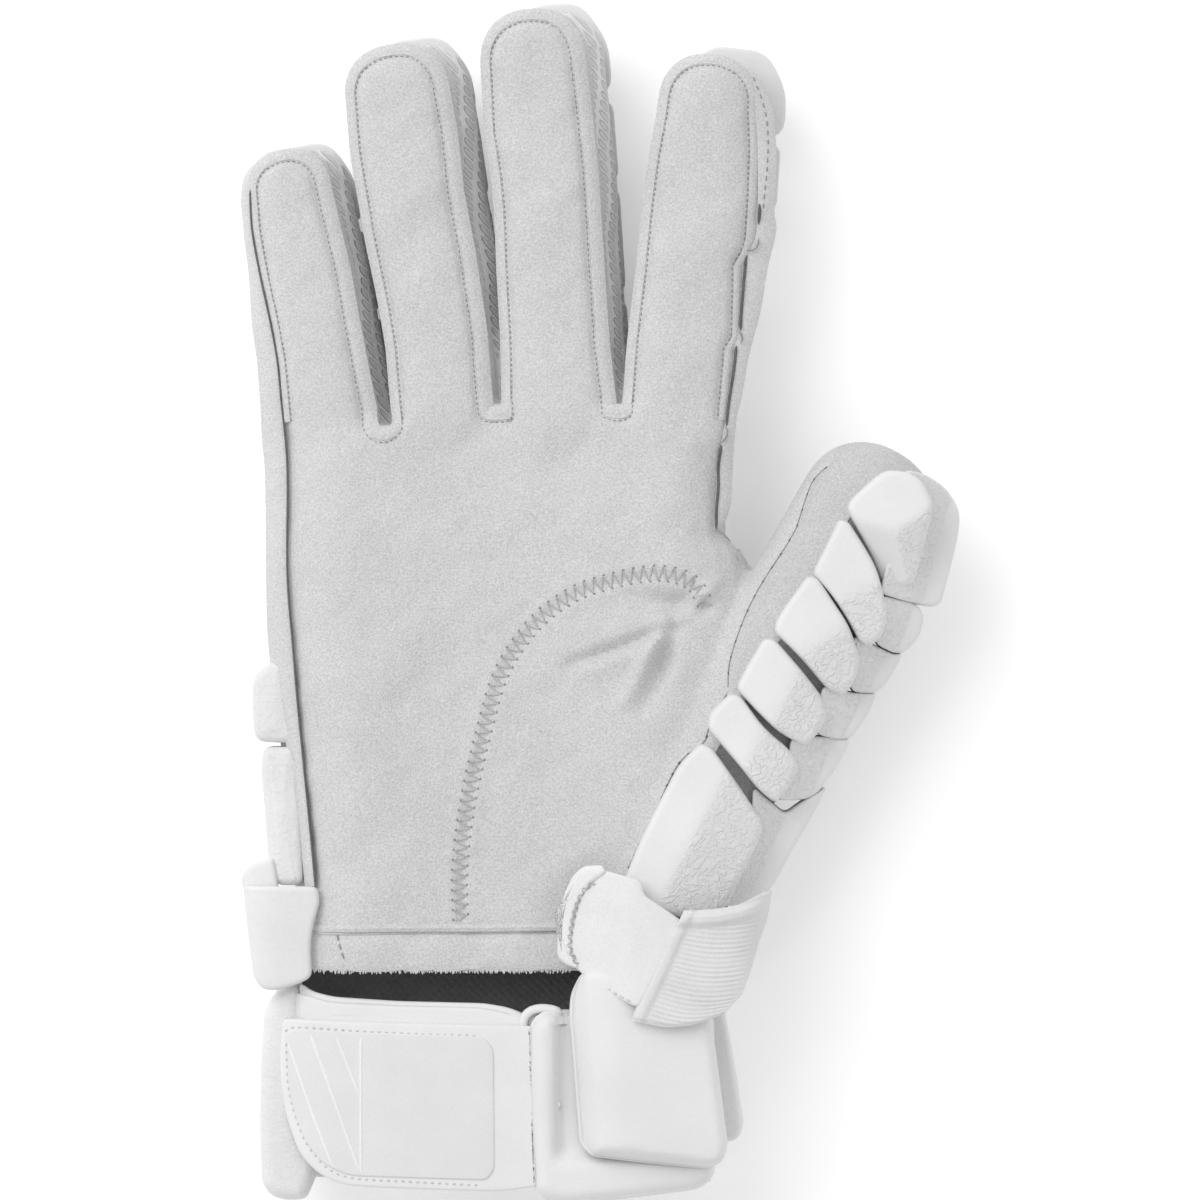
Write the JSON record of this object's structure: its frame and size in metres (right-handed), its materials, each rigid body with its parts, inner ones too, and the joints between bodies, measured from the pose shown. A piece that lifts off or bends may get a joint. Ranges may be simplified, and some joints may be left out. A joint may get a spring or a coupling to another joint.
{
  "type": "lacrosse glove",
  "caption": "Padded lacrosse glove lying open palm up, with suede palm, knit gussets, segmented foam pads on back and thumb, strapped cuff and an open hand hollow.",
  "frame": {"origin": "middle of the footprint, on the surface that the back of the glove lies on", "axes": "+X towards the thumb, +Y towards the fingertips, +Z out of the palm"},
  "size_m": [0.1978, 0.3302, 0.0598],
  "materials": {
    "suede": "fine light grey micro-suede with a darker backstitch",
    "binding": "slightly darker suede strip",
    "knit": "grey warp knit mesh",
    "lining": "dark brushed lining",
    "pad": "matt white synthetic leather over foam, pebbled on the bevels",
    "strap": "smooth matt white strap",
    "patch": "smooth matt white moulded patch with raised ribs",
    "webbing": "white woven webbing",
    "elastic": "white ribbed elastic"
  },
  "bodies": {
    "root": {"palm_panel": "suede", "palm_hem": "suede", "thumb_panel": "suede", "pinky_side_panel": "suede", "index_side_panel": "suede", "thumb_binding": "binding", "gusset_pinky_ring": "knit", "gusset_ring_middle": "knit", "gusset_middle_index": "knit", "back_liner": "lining", "thumb_liner": "lining", "cuff_liner": "lining", "pinky_pad_1": "pad", "pinky_pad_2": "pad", "pinky_pad_3": "pad", "ring_pad_1": "pad", "ring_pad_2": "pad", "ring_pad_3": "pad", "ring_pad_4": "pad", "middle_pad_1": "pad", "middle_pad_2": "pad", "middle_pad_3": "pad", "middle_pad_4": "pad", "index_pad_1": "pad", "index_pad_2": "pad", "index_pad_3": "pad", "index_pad_4": "pad", "hand_pad_1_1": "pad", "hand_pad_1_2": "pad", "hand_pad_1_3": "pad", "hand_pad_2_1": "pad", "hand_pad_2_2": "pad", "hand_pad_2_3": "pad", "pinky_side_pad_1": "pad", "pinky_side_pad_2": "pad", "thumb_front_pad_1": "pad", "thumb_outer_pad_1": "pad", "thumb_front_pad_2": "pad", "thumb_outer_pad_2": "pad", "thumb_front_pad_3": "pad", "thumb_outer_pad_3": "pad", "thumb_front_pad_4": "pad", "thumb_outer_pad_4": "pad", "thumb_front_pad_5": "pad", "thumb_outer_pad_5": "pad", "thumb_front_pad_6": "pad", "thumb_outer_pad_6": "pad", "cuff_pad_left": "pad", "cuff_pad_right_side": "pad", "cuff_pad_right_inner": "pad", "cuff_pad_right_outer": "pad", "cuff_pad_back_1": "pad", "cuff_pad_back_2": "pad", "wrist_strap": "strap", "strap_patch": "patch", "left_tab": "webbing", "right_tab_webbing": "webbing", "right_tab_elastic": "elastic"}
  },
  "joints": []
}
